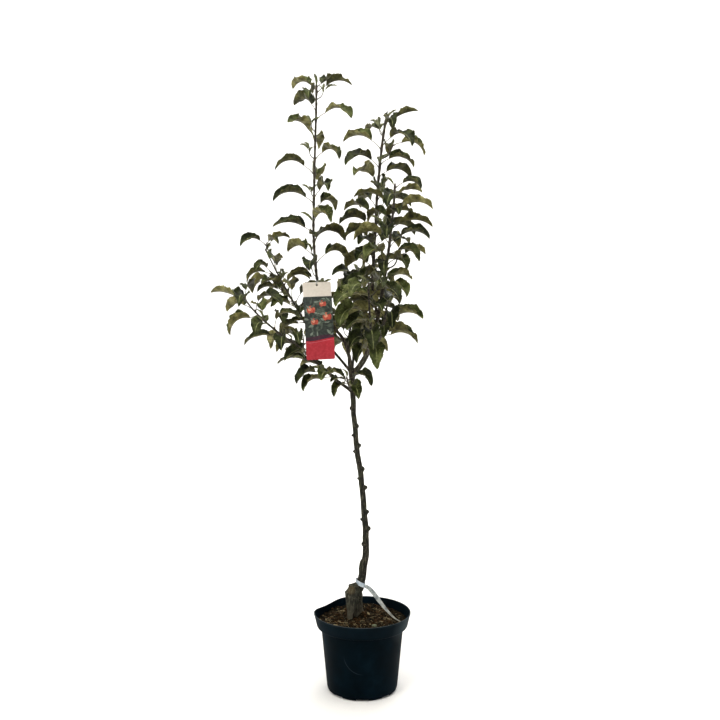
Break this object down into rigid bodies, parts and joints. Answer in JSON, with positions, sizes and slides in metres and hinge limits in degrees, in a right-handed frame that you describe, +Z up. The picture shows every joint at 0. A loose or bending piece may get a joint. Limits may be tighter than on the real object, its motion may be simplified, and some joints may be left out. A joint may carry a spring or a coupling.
{
  "type": "dwarf apple tree in a nursery pot",
  "caption": "Young grafted dwarf apple tree in full leaf, standing in a round black nursery pot of bark compost, with a plant card and a name band.",
  "frame": {"origin": "middle of the pot's flat underside, which is also the middle of the pot", "axes": "+Z up along the trunk, +X to the tree's right seen from the front, -Y to the front, where the card faces"},
  "size_m": [0.6018, 0.5437, 1.726],
  "materials": {
    "pot": "black blow-moulded polyethylene, satin",
    "soil": "damp bark compost with pale chips",
    "bark": "smooth young grey-brown bark with lenticels",
    "leaf": "matt dark green above, olive and downy beneath",
    "band": "white polypropylene film",
    "card": "printed plastic card with a plain fruit picture",
    "tie": "thin grey plastic strand"
  },
  "bodies": {
    "root": {"pot": "pot", "soil": "soil", "trunk": "bark", "leader": "bark", "bough_left_low": "bark", "bough_left_high": "bark", "bough_right": "bark", "bough_right_inner": "bark", "bough_right_low": "bark", "bough_centre": "bark", "bough_front": "bark", "bough_back": "bark", "foliage_leader": "leaf", "foliage_left_low": "leaf", "foliage_left_high": "leaf", "foliage_right_inner": "leaf", "foliage_right_outer": "leaf", "foliage_right_low": "leaf", "foliage_front": "leaf", "foliage_centre": "leaf", "foliage_back": "leaf", "foliage_trunk": "leaf", "name_band": "band", "card": "card", "card_tie": "tie"}
  },
  "joints": []
}
